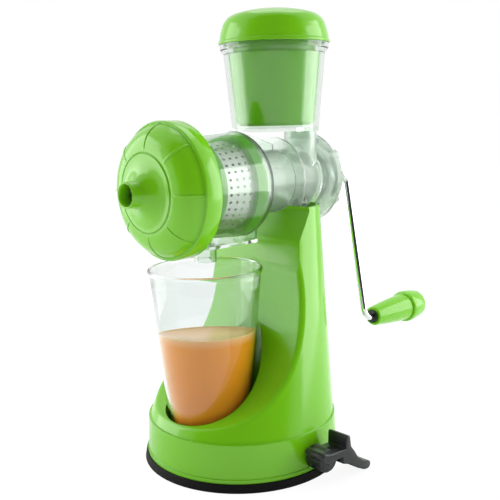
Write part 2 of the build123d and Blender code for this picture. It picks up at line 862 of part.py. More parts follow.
def flight(front, rear, inner, outer):
    """A helical flight on the barrel axis, in phase with every other one of the same pitch."""
    with BuildPart() as turn:
        with BuildLine() as path:
            Helix(auger_pitch, rear - front, inner)
        with BuildSketch(Plane(path.line @ 0, x_dir=(1, 0, 0), z_dir=path.line % 0)):
            with Locations(((outer - inner) / 2, 0)):
                Rectangle(outer - inner, flight_width)
        sweep(path=path.line, is_frenet=True)
    phase = 360 * (front - auger_front) / auger_pitch
    return turn.part.rotate(Axis.Z, phase).moved(back_plane.offset(front).location)


with BuildPart() as auger:
    with BuildSketch(barrel_plane):
        with BuildLine():
            Polyline(
                (auger_nose, 0), (auger_nose, core_nose_radius), (auger_front, core_front_radius),
                (core_neck_y, core_neck_radius), (auger_rear - flight_width, core_rear_radius),
                (auger_rear - flight_width, feed_flight_radius), (auger_rear, feed_flight_radius),
                (auger_rear, 0), close=True,
            )
        make_face()
    revolve(axis=barrel_axis)
    add(flight(press_flight_front, press_flight_rear, flight_root_radius, press_flight_radius))
    feed_flight_rear = auger_rear - flight_width - flight_end_gap
    add(flight(feed_flight_front, feed_flight_rear, flight_root_radius, feed_flight_radius))
    with BuildSketch(back_plane.offset(shaft_front)):
        Circle(shaft_radius)
    extrude(amount=auger_rear - shaft_front, mode=Mode.SUBTRACT)

with BuildPart() as auger_shaft:
    with BuildSketch(back_plane.offset(shaft_front)):
        Circle(shaft_radius)
    extrude(amount=shaft_rear - shaft_front)
    with BuildSketch(Plane.XY.offset(barrel_z + shaft_radius - hub_screw_depth)):
        with Locations((0, hub_screw_y)):
            Circle(screw_radius)
    extrude(amount=shaft_radius, mode=Mode.SUBTRACT)

# ---------------------------------------------------------------- bush, seal and rear nut
bush_front = barrel_rear + seal_thickness
boss_end = disc_rear + rear_boss_length
bush_end = boss_end + bush_flange_thickness
with BuildPart() as shaft_bush:
    with BuildSketch(back_plane.offset(bush_front)):
        Circle(bush_radius)
        Circle(shaft_radius + running_gap, mode=Mode.SUBTRACT)
    extrude(amount=bush_end - bush_front)
    with BuildSketch(back_plane.offset(boss_end)):
        Circle(bush_flange_radius)
        Circle(bush_radius, mode=Mode.SUBTRACT)
    extrude(amount=bush_flange_thickness)

with BuildPart() as shaft_seal:
    with BuildSketch(back_plane.offset(barrel_rear)):
        Circle(bush_radius)
        Circle(shaft_radius + running_gap, mode=Mode.SUBTRACT)
    extrude(amount=seal_thickness)

nut_front = disc_rear + seat_gap
with BuildPart() as rear_nut:
    with BuildSketch(back_plane.offset(nut_front)):
        Circle(nut_radius)
        with PolarLocations(nut_radius - nut_lobe_out, nut_lobes):
            Circle(nut_lobe_radius)
    extrude(amount=nut_length)
    chamfer(rear_nut.edges().group_by(Axis.Y)[-1], nut_round)
    with BuildSketch(back_plane.offset(nut_front)):
        Circle(rear_boss_radius)
    extrude(amount=bush_end - nut_front, mode=Mode.SUBTRACT)
    with BuildSketch(back_plane.offset(nut_front)):
        Circle(shaft_radius + pocket_gap)
    extrude(amount=nut_length, mode=Mode.SUBTRACT)

# ---------------------------------------------------------------- front cap and gasket
gasket_front = collar_front - gasket_thickness
with BuildPart() as cap_gasket:
    with BuildSketch(back_plane.offset(gasket_front)):
        Circle(collar_radius)
        Circle(collar_bore, mode=Mode.SUBTRACT)
    extrude(amount=gasket_thickness)

dome_outer = Vector(cap_rim_front, cap_dome_radius)
dome_inner = Vector(cap_ring_y, cap_ring_radius)
dome_chord = (dome_inner - dome_outer).normalized()
dome_way = Vector(dome_chord.Y, -dome_chord.X)


def dome_arc(shift):
    """The dome's outer line, moved out along the slope of its chord."""
    middle = (dome_outer + dome_inner) * 0.5 + dome_way * (cap_bulge + shift)
    return ThreePointArc(dome_outer + dome_way * shift, middle, dome_inner + dome_way * shift)


with BuildPart() as front_cap:
    with BuildSketch(barrel_plane):
        with BuildLine():
            bore = collar_radius + seat_gap
            seat_y = gasket_front - seat_gap
            lip_y = cap_ring_y - cap_ring_groove / 2
            lip_radius = cap_ring_radius - 2 * cap_ring_groove
            inner_middle = (dome_outer + dome_inner) * 0.5 + dome_way * (cap_bulge - cap_wall)
            inner_ring_y = cap_ring_y + cap_wall
            Polyline(
                (dome_outer.X, dome_outer.Y), (cap_rim_front, cap_rim_radius),
                (cap_rim_rear, cap_rim_radius), (cap_rim_rear, bore), (seat_y, bore),
                (seat_y, collar_bore), (seat_y - cap_land, collar_bore),
            )
            dome_arc(0)
            Polyline(
                (cap_ring_y, cap_ring_radius),
                (cap_ring_y + cap_ring_groove, cap_ring_radius - cap_ring_groove), (lip_y, lip_radius),
            )
            ThreePointArc(
                (lip_y, lip_radius), (lip_y - cap_wall, nozzle_radius + trumpet_waist),
                (trumpet_throat, nozzle_radius),
            )
            Polyline(
                (trumpet_throat, nozzle_radius), (nozzle_tip, nozzle_radius), (nozzle_tip, nozzle_bore),
                (trumpet_throat, nozzle_bore),
            )
            ThreePointArc(
                (trumpet_throat, nozzle_bore),
                (inner_ring_y - cap_wall, nozzle_radius + trumpet_waist - cap_wall / 2),
                (inner_ring_y, lip_radius - cap_wall),
            )
            ThreePointArc(
                (inner_ring_y, lip_radius - cap_wall), (inner_middle.X, inner_middle.Y),
                (seat_y - cap_land, collar_bore),
            )
        make_face()
    revolve(axis=barrel_axis)
    with BuildPart(mode=Mode.PRIVATE) as rib:
        with BuildSketch(barrel_plane):
            with BuildLine():
                outer_line = dome_arc(rib_height)
                inner_line = dome_arc(-rib_height)
                Line(outer_line @ 0, inner_line @ 0)
                Line(outer_line @ 1, inner_line @ 1)
            make_face()
        extrude(amount=rib_width / 2, both=True)
    for turn in range(rib_count):
        add(rib.part.rotate(barrel_axis, 360 * turn / rib_count))

# ---------------------------------------------------------------- crank
with BuildPart() as crank_arm:
    with BuildLine() as rod_path:
        FilletPolyline(
            (0, hub_rear - rod_seat, barrel_z), (0, crank_y, barrel_z), (grip_x, crank_y, grip_z),
            (grip_x, rod_end, grip_z), radius=crank_bend,
        )
    with BuildSketch(back_plane.offset(hub_rear - rod_seat)):
        Circle(rod_radius)
    sweep(path=rod_path.line)

hub_screw_foot = barrel_z + shaft_radius - hub_screw_depth
with BuildPart() as crank_hub:
    with BuildSketch(back_plane.offset(hub_front)):
        Circle(hub_radius)
    extrude(amount=hub_rear - hub_front)
    chamfer(crank_hub.edges().group_by(Axis.Y)[-1], running_gap * 10)
    with BuildSketch(back_plane.offset(hub_front)):
        Circle(shaft_radius)
    extrude(amount=shaft_rear - hub_front, mode=Mode.SUBTRACT)
    with BuildSketch(back_plane.offset(hub_rear - rod_seat)):
        Circle(rod_radius)
    extrude(amount=rod_seat, mode=Mode.SUBTRACT)
    with BuildSketch(Plane.XY.offset(hub_screw_foot)):
        with Locations((0, hub_screw_y)):
            Circle(screw_radius)
    extrude(amount=hub_radius, mode=Mode.SUBTRACT)

with BuildPart() as hub_screw:
    with BuildSketch(Plane.XY.offset(hub_screw_foot)):
        with Locations((0, hub_screw_y)):
            Circle(screw_radius)
    extrude(amount=hub_radius - shaft_radius + hub_screw_depth)
    with BuildSketch(Plane.XY.offset(barrel_z + hub_radius)):
        with Locations((0, hub_screw_y)):
            Circle(screw_head_radius)
    extrude(amount=screw_head_height)

with BuildPart() as grip_washer:
    with BuildSketch(Plane(grip_axis.position, x_dir=(1, 0, 0), z_dir=(0, 1, 0)).offset(washer_front)):
        Circle(washer_radius)
        Circle(rod_radius, mode=Mode.SUBTRACT)
    extrude(amount=washer_thickness)

grip_bore = rod_radius + running_gap
with BuildPart() as crank_grip:
    with BuildSketch(grip_plane):
        with BuildLine():
            middle = (grip_front + grip_split) / 2
            Polyline(
                (grip_split, grip_split_radius), (grip_split, grip_bore), (grip_front, grip_bore),
                (grip_front, grip_front_radius - grip_edge),
                (grip_front + grip_edge, grip_front_radius),
            )
            ThreePointArc(
                (grip_front + grip_edge, grip_front_radius),
                (middle, (grip_front_radius + grip_split_radius) / 2 + grip_swell),
                (grip_split, grip_split_radius),
            )
        make_face()
    revolve(axis=grip_axis)

with BuildPart() as grip_cap:
    with BuildSketch(grip_plane):
        with BuildLine():
            dome_start = grip_split + grip_cap_straight
            Polyline(
                (dome_start, grip_cap_radius), (grip_split + grip_edge, grip_cap_radius),
                (grip_split, grip_cap_radius - grip_edge), (grip_split, grip_bore),
                (rod_end + pocket_gap, grip_bore), (rod_end + pocket_gap, 0), (grip_rear, 0),
            )
            EllipticalCenterArc(
                (dome_start, 0), grip_rear - dome_start, grip_cap_radius, start_angle=0, arc_size=90,
            )
        make_face()
    revolve(axis=grip_axis)

# ---------------------------------------------------------------- export
pieces = {
    "suction_pad": suction_pad,
    "suction_stem": suction_stem,
    "base_plate": base_plate,
    "base_screws": base_screws,
    "stand": stand,
    "body_screws": body_screws,
    "lock_shaft": lock_shaft,
    "lock_cam": lock_cam,
    "lock_lever": lock_lever,
    "lever_screw": lever_screw,
    "juice_cup": juice_cup,
    "juicer_body": juicer_body,
    "hopper": hopper,
    "pusher": pusher,
    "hopper_lid": hopper_lid,
    "strainer": strainer,
    "strainer_front_ring": strainer_front_ring,
    "strainer_rear_ring": strainer_rear_ring,
    "auger": auger,
    "auger_shaft": auger_shaft,
    "shaft_bush": shaft_bush,
    "shaft_seal": shaft_seal,
    "rear_nut": rear_nut,
    "cap_gasket": cap_gasket,
    "front_cap": front_cap,
    "crank_arm": crank_arm,
    "crank_hub": crank_hub,
    "hub_screw": hub_screw,
    "grip_washer": grip_washer,
    "crank_grip": crank_grip,
    "grip_cap": grip_cap,
}
os.makedirs("parts", exist_ok=True)
for name, piece in pieces.items():
    piece.part.label = name
    export_step(piece.part, f"parts/{name}.step")
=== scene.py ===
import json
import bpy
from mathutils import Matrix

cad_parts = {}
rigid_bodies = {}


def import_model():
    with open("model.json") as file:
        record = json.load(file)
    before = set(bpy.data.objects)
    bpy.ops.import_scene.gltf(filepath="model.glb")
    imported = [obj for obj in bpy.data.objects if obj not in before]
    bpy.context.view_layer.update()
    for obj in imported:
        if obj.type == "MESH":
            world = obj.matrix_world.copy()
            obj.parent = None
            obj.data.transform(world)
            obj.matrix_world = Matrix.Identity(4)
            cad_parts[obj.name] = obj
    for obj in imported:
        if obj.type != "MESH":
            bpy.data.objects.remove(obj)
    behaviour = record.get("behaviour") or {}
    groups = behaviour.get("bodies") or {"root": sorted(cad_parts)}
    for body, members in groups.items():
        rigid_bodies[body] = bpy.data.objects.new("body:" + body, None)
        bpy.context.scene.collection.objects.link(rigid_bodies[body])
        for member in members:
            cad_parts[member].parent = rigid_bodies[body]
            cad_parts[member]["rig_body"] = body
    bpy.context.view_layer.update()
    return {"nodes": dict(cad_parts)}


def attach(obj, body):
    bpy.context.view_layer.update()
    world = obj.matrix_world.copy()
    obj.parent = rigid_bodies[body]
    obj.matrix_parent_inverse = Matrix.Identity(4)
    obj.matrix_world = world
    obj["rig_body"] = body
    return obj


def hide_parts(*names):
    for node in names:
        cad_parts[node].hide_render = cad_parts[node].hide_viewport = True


bl_info = {
    "name": "Manual Wheatgrass Juicer",
    "version": (1, 0, 0),
    "blender": (4, 5, 0),
    "location": "View3D > Sidebar > Juicer",
    "description": "Dresses a hand cranked juicer: shell, clear body, steel strainer and juice",
    "category": "Object",
}

from math import cos, pi, radians, sin

import bmesh
import bpy
from bpy.props import FloatProperty, FloatVectorProperty, IntProperty, PointerProperty
from mathutils import Matrix, Vector

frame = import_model()

MM = 0.001
# A point on the axis of each round piece, in mm
BARREL = Vector((0.0, 0.0, 213.8))
HOPPER = Vector((0.0, 44.0, 0.0))
CUP = Vector((0.0, -33.5, 0.0))
GRIP = Vector((22.57, 0.0, 85.77))
LEVER = Vector((0.0, 0.0, 18.0))
ALONG_X, ALONG_Y, ALONG_Z = Vector((1, 0, 0)), Vector((0, 1, 0)), Vector((0, 0, 1))
# The photograph's viewpoint in metres, its angles in degrees and its lens in mm
CAMERA_PLACE = (0.4334, -0.3970, 0.2648)
CAMERA_TURN, CAMERA_PITCH, CAMERA_ROLL = 46.58, 9.88, -1.34
CAMERA_LENS, CAMERA_SENSOR = 55.41, 36.0
# The strainer's sheet, in mm
STRAINER_FRONT_RADIUS, STRAINER_REAR_RADIUS = 30.12, 34.12
STRAINER_MIDDLE, STRAINER_LENGTH, STRAINER_SHEET = -25.0, 34.0, 0.5
# The cup's inner wall: its radius at a height, both in mm, and how much wider it is each mm up
CUP_INNER_RADIUS, CUP_INNER_HEIGHT, CUP_FLARE = 29.9, 38.4, 0.0924
# Where along the barrel the clear body turns hazy, in mm
HAZE_START, HAZE_END = 2.0, 14.0
# The lever's arm: where it starts along X, and its width, in mm
LEVER_START, LEVER_WIDTH = 80.0, 18.0
# The room's brightness at the sides and at the camera's side: on matt surfaces, then in gloss
MATT_SIDES, MATT_FRONT = 1.25, 0.46
GLOSS_SIDES, GLOSS_FRONT = 1.0, 0.04
# Name, turn from the camera in degrees, height, distance, width and height in metres, brightness
SOFTBOXES = (
    ("left softbox", -103, 0.15, 1.0, 0.75, 1.1, 1.85),
    ("right softbox", 96, 0.15, 1.05, 0.8, 1.1, 2.3),
    ("top softbox", 170, 1.1, 0.5, 0.7, 0.7, 1.3),
)


def linear(code):
    """The linear value of an sRGB hex colour."""
    parts = [int(code[i : i + 2], 16) / 255 for i in (1, 3, 5)]
    return [p / 12.92 if p <= 0.04045 else ((p + 0.055) / 1.055) ** 2.4 for p in parts]


def per(mm):
    """The scale at which a pattern repeats every so many millimetres."""
    return 1000.0 / mm


# ------------------------------------------------------------------ settings
def colour_setting(name, description, code):
    return FloatVectorProperty(
        name=name, description=description, default=linear(code),
        subtype="COLOR", size=3, min=0, max=1,
    )


class JuicerFinishes(bpy.types.PropertyGroup):
    shell_green: colour_setting("Shell green", "Stand, lid, pusher, front cap and grip", "#72c010")
    trim_green: colour_setting("Trim green", "Rings of the strainer", "#5fb41c")
    body_tint: colour_setting("Body tint", "Clear body, hopper and nut", "#e9f2ea")
    cup_tint: colour_setting("Cup tint", "Clear cup", "#f6faf9")
    juice_top: colour_setting("Juice surface", "Pale pulp at the top of the juice", "#ffc486")
    juice_deep: colour_setting("Juice depth", "Juice lower in the cup", "#ffa01c")
    steel: colour_setting("Steel", "Strainer and screws", "#e2e3e1")


class JuicerSizes(bpy.types.PropertyGroup):
    juice_level: FloatProperty(
        name="Juice level", description="Height of the juice above the table", unit="LENGTH",
        default=0.107, min=0.045, max=0.145,
    )
    strainer_columns: IntProperty(
        name="Strainer columns", description="Holes round the strainer",
        default=37, min=12, max=48,
    )
    strainer_rows: IntProperty(
        name="Strainer rows", description="Rows of holes along the strainer",
        default=6, min=3, max=16,
    )
    strainer_hole: FloatProperty(
        name="Strainer hole", description="Width of a hole before it is rounded", unit="LENGTH",
        default=0.0026, min=0.001, max=0.004,
    )
    cap_ribs: IntProperty(
        name="Cap ribs", description="Ribs on the front cap", default=8, min=4, max=16
    )
    lever_edge: FloatProperty(
        name="Lever edge", description="Rounding of the lever's edges", unit="LENGTH",
        default=0.0011, min=0.0002, max=0.002,
    )


# ------------------------------------------------------------------ materials
def add_node(tree, kind, inputs=None, **settings):
    """Adds a node with its settings, and its inputs as values or as links from other sockets."""
    node = tree.nodes.new("ShaderNode" + kind)
    for name, value in settings.items():
        setattr(node, name, value)
    for name, value in (inputs or {}).items():
        if isinstance(value, bpy.types.NodeSocket):
            tree.links.new(value, node.inputs[name])
        else:
            node.inputs[name].default_value = value
    return node


def new_material(name):
    material = bpy.data.materials.new(name)
    material.use_nodes = True
    material.node_tree.nodes.clear()
    return material, material.node_tree


def noise(tree, place, size_mm, detail):
    """A cloudy pattern from 0 to 1, whose patches are about this large."""
    inputs = {"Vector": place, "Scale": per(size_mm), "Detail": detail}
    return add_node(tree, "TexNoise", inputs).outputs["Fac"]


def ramp(tree, value, low, high, start=0.0, end=1.0):
    """Takes a value from its start to its end over to a range from low to high."""
    inputs = {"Value": value, "From Min": start, "From Max": end, "To Min": low, "To Max": high}
    return add_node(tree, "MapRange", inputs).outputs["Result"]


def blend(tree, share, first, second):
    """A colour between two others."""
    inputs = {0: share, 6: first, 7: second}
    return add_node(tree, "Mix", inputs, data_type="RGBA").outputs[2]


def mix(tree, share, first, second):
    """A shader between two others."""
    return add_node(tree, "MixShader", {0: share, 1: first, 2: second}).outputs[0]


def moulded(
    name, colour, roughness, ior=1.5, drift=0.06, drift_mm=45, grain_mm=1.6,
    grain_height_mm=0.004, rough_drift=0.05, edge_mm=0.0, metallic=0.0, stretch=(1, 1, 1), **shader,
):
    """An opaque finish: colour and gloss drift, a fine grain stirs the normal, edges soften."""
    material, tree = new_material(name)
    place = add_node(tree, "TexCoord").outputs["Object"]
    laid = add_node(tree, "Mapping", {"Vector": place, "Scale": stretch}).outputs["Vector"]
    cloud = noise(tree, laid, drift_mm, 3.0)
    dark = [c * (1 - drift) for c in colour] + [1]
    light = [min(1, c * (1 + drift)) for c in colour] + [1]
    tone = blend(tree, cloud, dark, light)
    gloss = ramp(tree, cloud, roughness * (1 - rough_drift), roughness * (1 + rough_drift))
    grain = noise(tree, laid, grain_mm, 2.0)
    bump = {"Height": grain, "Distance": grain_height_mm * MM, "Strength": 1.0}
    if edge_mm:
        edge = add_node(tree, "Bevel", {"Radius": edge_mm * MM}, samples=6)
        bump["Normal"] = edge.outputs["Normal"]
    normal = add_node(tree, "Bump", bump).outputs["Normal"]
    inputs = {"Base Color": tone, "Roughness": gloss, "IOR": ior, "Metallic": metallic}
    surface = add_node(tree, "BsdfPrincipled", {**inputs, "Normal": normal, **shader})
    add_node(tree, "OutputMaterial", {"Surface": surface.outputs[0]})
    return material


def clear_moulded(name, tint, roughness, ior, wave_height_mm, shade, haze=None):
    """A see-through finish with the faint waves of moulding, which lamps pass nearly unbent.

    The haze is the roughness and the clearness that it has along the rear of the barrel.
    """
    material, tree = new_material(name)
    place = add_node(tree, "TexCoord").outputs["Object"]
    bump = {"Height": noise(tree, place, 30, 1.0), "Distance": wave_height_mm * MM, "Strength": 1.0}
    normal = add_node(tree, "Bump", bump).outputs["Normal"]
    clearness = 1.0
    if haze:
        along = add_node(tree, "SeparateXYZ", {"Vector": place}).outputs["Y"]
        roughness, clearness = (
            ramp(tree, along, front, rear, HAZE_START * MM, HAZE_END * MM)
            for front, rear in zip((roughness, 0.99), haze)
        )
    inputs = {"Base Color": [*tint, 1], "Roughness": roughness, "IOR": ior}
    glassy = add_node(
        tree, "BsdfPrincipled", {**inputs, "Transmission Weight": clearness, "Normal": normal}
    )
    passing = add_node(tree, "BsdfTransparent", {"Color": [c * shade for c in tint] + [1]})
    shadow = add_node(tree, "LightPath").outputs["Is Shadow Ray"]
    mixed = mix(tree, shadow, glassy.outputs[0], passing.outputs[0])
    add_node(tree, "OutputMaterial", {"Surface": mixed})
    return material


def make_finish(name):
    tones = bpy.context.scene.juicer_finishes
    # injection-moulded ABS, polished tool: even saturated colour, sharp, slightly rippled gloss
    if name == "green_shell":
        return moulded(
            "gloss ABS", tones.shell_green, 0.16, ior=1.54, drift=0.03,
            grain_mm=9, grain_height_mm=0.02, edge_mm=0.7,
        )
    # injection-moulded ABS seen inside the clear body: duller and deeper green
    if name == "green_trim":
        return moulded(
            "trim ABS", tones.trim_green, 0.25, ior=1.54, drift=0.04,
            grain_mm=6, grain_height_mm=0.01, edge_mm=0.4,
        )
    # injection-moulded SAN: clear over the strainer, hazier over the barrel, with flow waves
    if name == "clear_body":
        return clear_moulded("hazed SAN", tones.body_tint, 0.06, 1.5, 0.04, 0.92, haze=(0.2, 0.92))
    # the same resin from a polished tool: the pusher shows through it with sharp edges
    if name == "clear_hopper":
        return clear_moulded("clear SAN", tones.body_tint, 0.05, 1.45, 0.02, 0.86)
    # injection-moulded polystyrene: thin, bright and nearly without colour
    if name == "clear_cup":
        return clear_moulded("clear polystyrene", tones.cup_tint, 0.02, 1.45, 0.015, 0.96)
    # moulded nitrile rubber: nearly black, dull, with a fine bloom
    if name == "foot_rubber":
        return moulded(
            "moulded rubber", linear("#070708"), 0.6, ior=1.52, drift=0.25, drift_mm=12,
            grain_mm=0.9, grain_height_mm=0.02, rough_drift=0.15, edge_mm=0.8,
            **{"Specular IOR Level": 0.2},
        )
    # moulded polypropylene, textured tool: black with a soft sheen
    if name == "black_plastic":
        return moulded(
            "black polypropylene", linear("#1e1f21"), 0.33, ior=1.49, drift=0.15, drift_mm=15,
            grain_mm=0.8, grain_height_mm=0.012, rough_drift=0.2, edge_mm=0.6,
        )
    # machined and moulded acetal: milky white, waxy
    if name == "white_plastic":
        return moulded(
            "white acetal", linear("#dfe6df"), 0.35, ior=1.48, drift=0.03,
            grain_mm=1.2, grain_height_mm=0.008, edge_mm=0.4,
        )
    # moulded silicone: pale, soft, dull
    if name == "seal_rubber":
        return moulded(
            "silicone", linear("#b9beb8"), 0.5, ior=1.41, drift=0.05, grain_height_mm=0.008
        )
    # chromed steel rod: mirror-bright, with faint lengthwise polishing
    if name == "bright_steel":
        return moulded(
            "chromed steel", linear("#dcdde0"), 0.09, drift=0.04, drift_mm=8, grain_mm=1.5,
            grain_height_mm=0.003, rough_drift=0.3, metallic=1.0, stretch=(3, 1, 0.4),
        )
    # rolled and perforated stainless sheet: fine lengthwise rolling lines
    if name == "strainer_steel":
        return moulded(
            "perforated stainless", tones.steel, 0.42, drift=0.06, drift_mm=5, grain_mm=0.7,
            grain_height_mm=0.004, rough_drift=0.25, metallic=1.0, stretch=(4, 0.3, 4),
        )
    # zinc-plated screw heads: grey, slightly mottled
    if name == "screw_steel":
        return moulded(
            "zinc-plated steel", linear("#c4c6c9"), 0.32, drift=0.1, drift_mm=3, grain_mm=0.5,
            grain_height_mm=0.005, rough_drift=0.3, metallic=1.0, edge_mm=0.2,
        )
    if name == "juice":
        return juice_material(tones)
    raise ValueError("no finish is named " + name)


def juice_material(tones):
    """Strained juice: cloudy, palest at its surface, deeper low down, and with painted shade making
    it redder low down by the stand.
    """
    material, tree = new_material("cloudy juice")
    place = add_node(tree, "TexCoord").outputs["Object"]
    parts = add_node(tree, "SeparateXYZ", {"Vector": place}).outputs
    level = bpy.context.scene.juicer_sizes.juice_level
    top = ramp(tree, parts["Z"], 0.0, 1.0, level - 0.006, level + 0.001)
    deep = ramp(tree, parts["Z"], 0.0, 1.0, level - 0.01, 0.04)
    # painted shade: low down on the side toward the stand the juice is blended to a darker, redder
    # orange
    side = ramp(tree, parts["Y"], 0.0, 1.0, -0.03, 0.002)
    both = add_node(tree, "Math", {0: deep, 1: side}, operation="MULTIPLY").outputs[0]
    juice_with_painted_shade = blend(tree, both, [*tones.juice_deep, 1], linear("#f4661c") + [1])
    dull = blend(tree, deep, juice_with_painted_shade, linear("#f5942c") + [1])
    pale = blend(tree, top, dull, [*tones.juice_top, 1])
    rough = ramp(tree, noise(tree, place, 14, 4.0), 0.12, 0.24)
    inputs = {"Base Color": pale, "Roughness": rough, "IOR": 1.34, "Specular IOR Level": 0.3}
    pulpy = {"Weight": 0.35, "Radius": (1.0, 0.55, 0.2), "Scale": 0.006}
    inputs.update({"Subsurface " + name: value for name, value in pulpy.items()})
    surface = add_node(tree, "BsdfPrincipled", inputs)
    add_node(tree, "OutputMaterial", {"Surface": surface.outputs[0]})
    return material


made = {}


def finish(slot):
    """The material of a finish, made when it is first asked for."""
    if slot not in made:
        made[slot] = make_finish(slot)
    return made[slot]


# ------------------------------------------------------------------ modelling helpers
def bow(start, end, rise, count=10):
    """Points along a shallow arc between two outline points, raised to the left of the way."""
    a, b = Vector(start), Vector(end)
    side = Vector((a.y - b.y, b.x - a.x)).normalized()
    steps = [i / count for i in range(count + 1)]
    return [tuple(a.lerp(b, t) + side * rise * 4 * t * (1 - t)) for t in steps]


def select_where(piece, test, kind="verts"):
    """Selects the vertices, edges or faces that pass a test, and nothing else."""
    bpy.ops.mesh.select_all(action="DESELECT")
    mesh = bmesh.from_edit_mesh(piece.data)
    for element in getattr(mesh, kind):
        if test(element):
            element.select_set(True)
    mesh.select_flush_mode()
    bmesh.update_edit_mesh(piece.data)


def drawn(name, points, closed=True):
    """Starts a piece as a chain of edges through points in mm, and leaves it in edit mode."""
    points = [Vector(p) * MM for p in points]
    bpy.ops.object.select_all(action="DESELECT")
    bpy.ops.mesh.primitive_plane_add(size=MM, location=points[0])
    bpy.ops.object.transform_apply(location=True, rotation=True, scale=True)
    piece = bpy.context.object
    piece.name = piece.data.name = name
    bpy.ops.object.mode_set(mode="EDIT")
    bpy.ops.mesh.select_mode(type="VERT")
    bpy.ops.mesh.merge(type="CENTER")
    for start, end in zip(points, points[1:]):
        bpy.ops.mesh.extrude_vertices_move(TRANSFORM_OT_translate={"value": end - start})
    if closed:
        last = len(points) - 1
        select_where(piece, lambda v: v.index in (0, last))
        bpy.ops.mesh.edge_face_add()
    bpy.ops.mesh.select_all(action="SELECT")
    return piece


def turned(name, outline, centre, along, steps=96, closed=True):
    """Turns an outline as on a lathe: pairs of a radius and a place along the axis, in mm."""
    across = ALONG_X if along == ALONG_Z else ALONG_Z
    piece = drawn(name, [centre + across * r + along * a for r, a in outline], closed)
    bpy.ops.mesh.spin(
        steps=steps, angle=2 * pi, center=centre * MM, axis=along, use_auto_merge=True
    )
    bpy.ops.mesh.select_all(action="SELECT")
    bpy.ops.mesh.remove_doubles(threshold=1e-6)
    bpy.ops.mesh.normals_make_consistent(inside=False)
    bpy.ops.object.mode_set(mode="OBJECT")
    return piece


def modify(piece, kind, **settings):
    """Adds a modifier and applies it."""
    bpy.ops.object.select_all(action="DESELECT")
    piece.select_set(True)
    bpy.context.view_layer.objects.active = piece
    modifier = piece.modifiers.new(kind.title(), kind)
    for name, value in settings.items():
        setattr(modifier, name, value)
    bpy.ops.object.modifier_apply(modifier=modifier.name)


def soften(piece, width_mm, angle=40):
    """Rounds the edges that turn by more than an angle."""
    modify(
        piece, "BEVEL", width=width_mm * MM, segments=3,
        limit_method="ANGLE", angle_limit=radians(angle),
    )


def join(pieces, name):
    """Joins pieces into the first one."""
    bpy.ops.object.select_all(action="DESELECT")
    for piece in pieces:
        piece.select_set(True)
    bpy.context.view_layer.objects.active = pieces[0]
    bpy.ops.object.join()
    pieces[0].name = pieces[0].data.name = name
    return pieces[0]


def complete(piece, slot, node=None, body=None, angle=35):
    """Shades a piece, gives it its finish and body, and hides the node that it stands for."""
    bpy.ops.object.select_all(action="DESELECT")
    piece.select_set(True)
    bpy.context.view_layer.objects.active = piece
    bpy.ops.object.shade_smooth_by_angle(angle=radians(angle))
    piece.data.materials.clear()
    piece.data.materials.append(finish(slot))
    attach(piece, body or frame["nodes"][node]["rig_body"])
    if node:
        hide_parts(node)


# ------------------------------------------------------------------ pieces
NODE_FINISH = {
    "suction_pad": "foot_rubber", "suction_stem": "white_plastic", "base_plate": "black_plastic",
    "base_screws": "screw_steel", "stand": "green_shell", "body_screws": "screw_steel",
    "lock_shaft": "screw_steel", "lock_cam": "white_plastic", "lock_lever": "black_plastic",
    "lever_screw": "black_plastic", "juice_cup": "clear_cup", "juicer_body": "clear_body",
    "hopper": "clear_hopper", "pusher": "green_shell", "hopper_lid": "green_shell",
    "strainer": "strainer_steel", "strainer_front_ring": "green_trim",
    "strainer_rear_ring": "green_trim",
    "auger": "white_plastic", "auger_shaft": "bright_steel", "shaft_bush": "white_plastic",
    "shaft_seal": "seal_rubber", "rear_nut": "clear_body", "cap_gasket": "seal_rubber",
    "front_cap": "green_shell", "crank_arm": "bright_steel", "crank_hub": "bright_steel",
    "hub_screw": "screw_steel", "grip_washer": "black_plastic", "crank_grip": "green_shell",
    "grip_cap": "green_shell",
}


class JUICER_OT_node_finishes(bpy.types.Operator):
    """Gives every CAD node its finish"""

    bl_idname = "juicer.node_finishes"
    bl_label = "Finish the CAD nodes"

    def execute(self, context):
        for name, node in frame["nodes"].items():
            node.data.materials.clear()
            node.data.materials.append(finish(NODE_FINISH[name]))
        return {"FINISHED"}


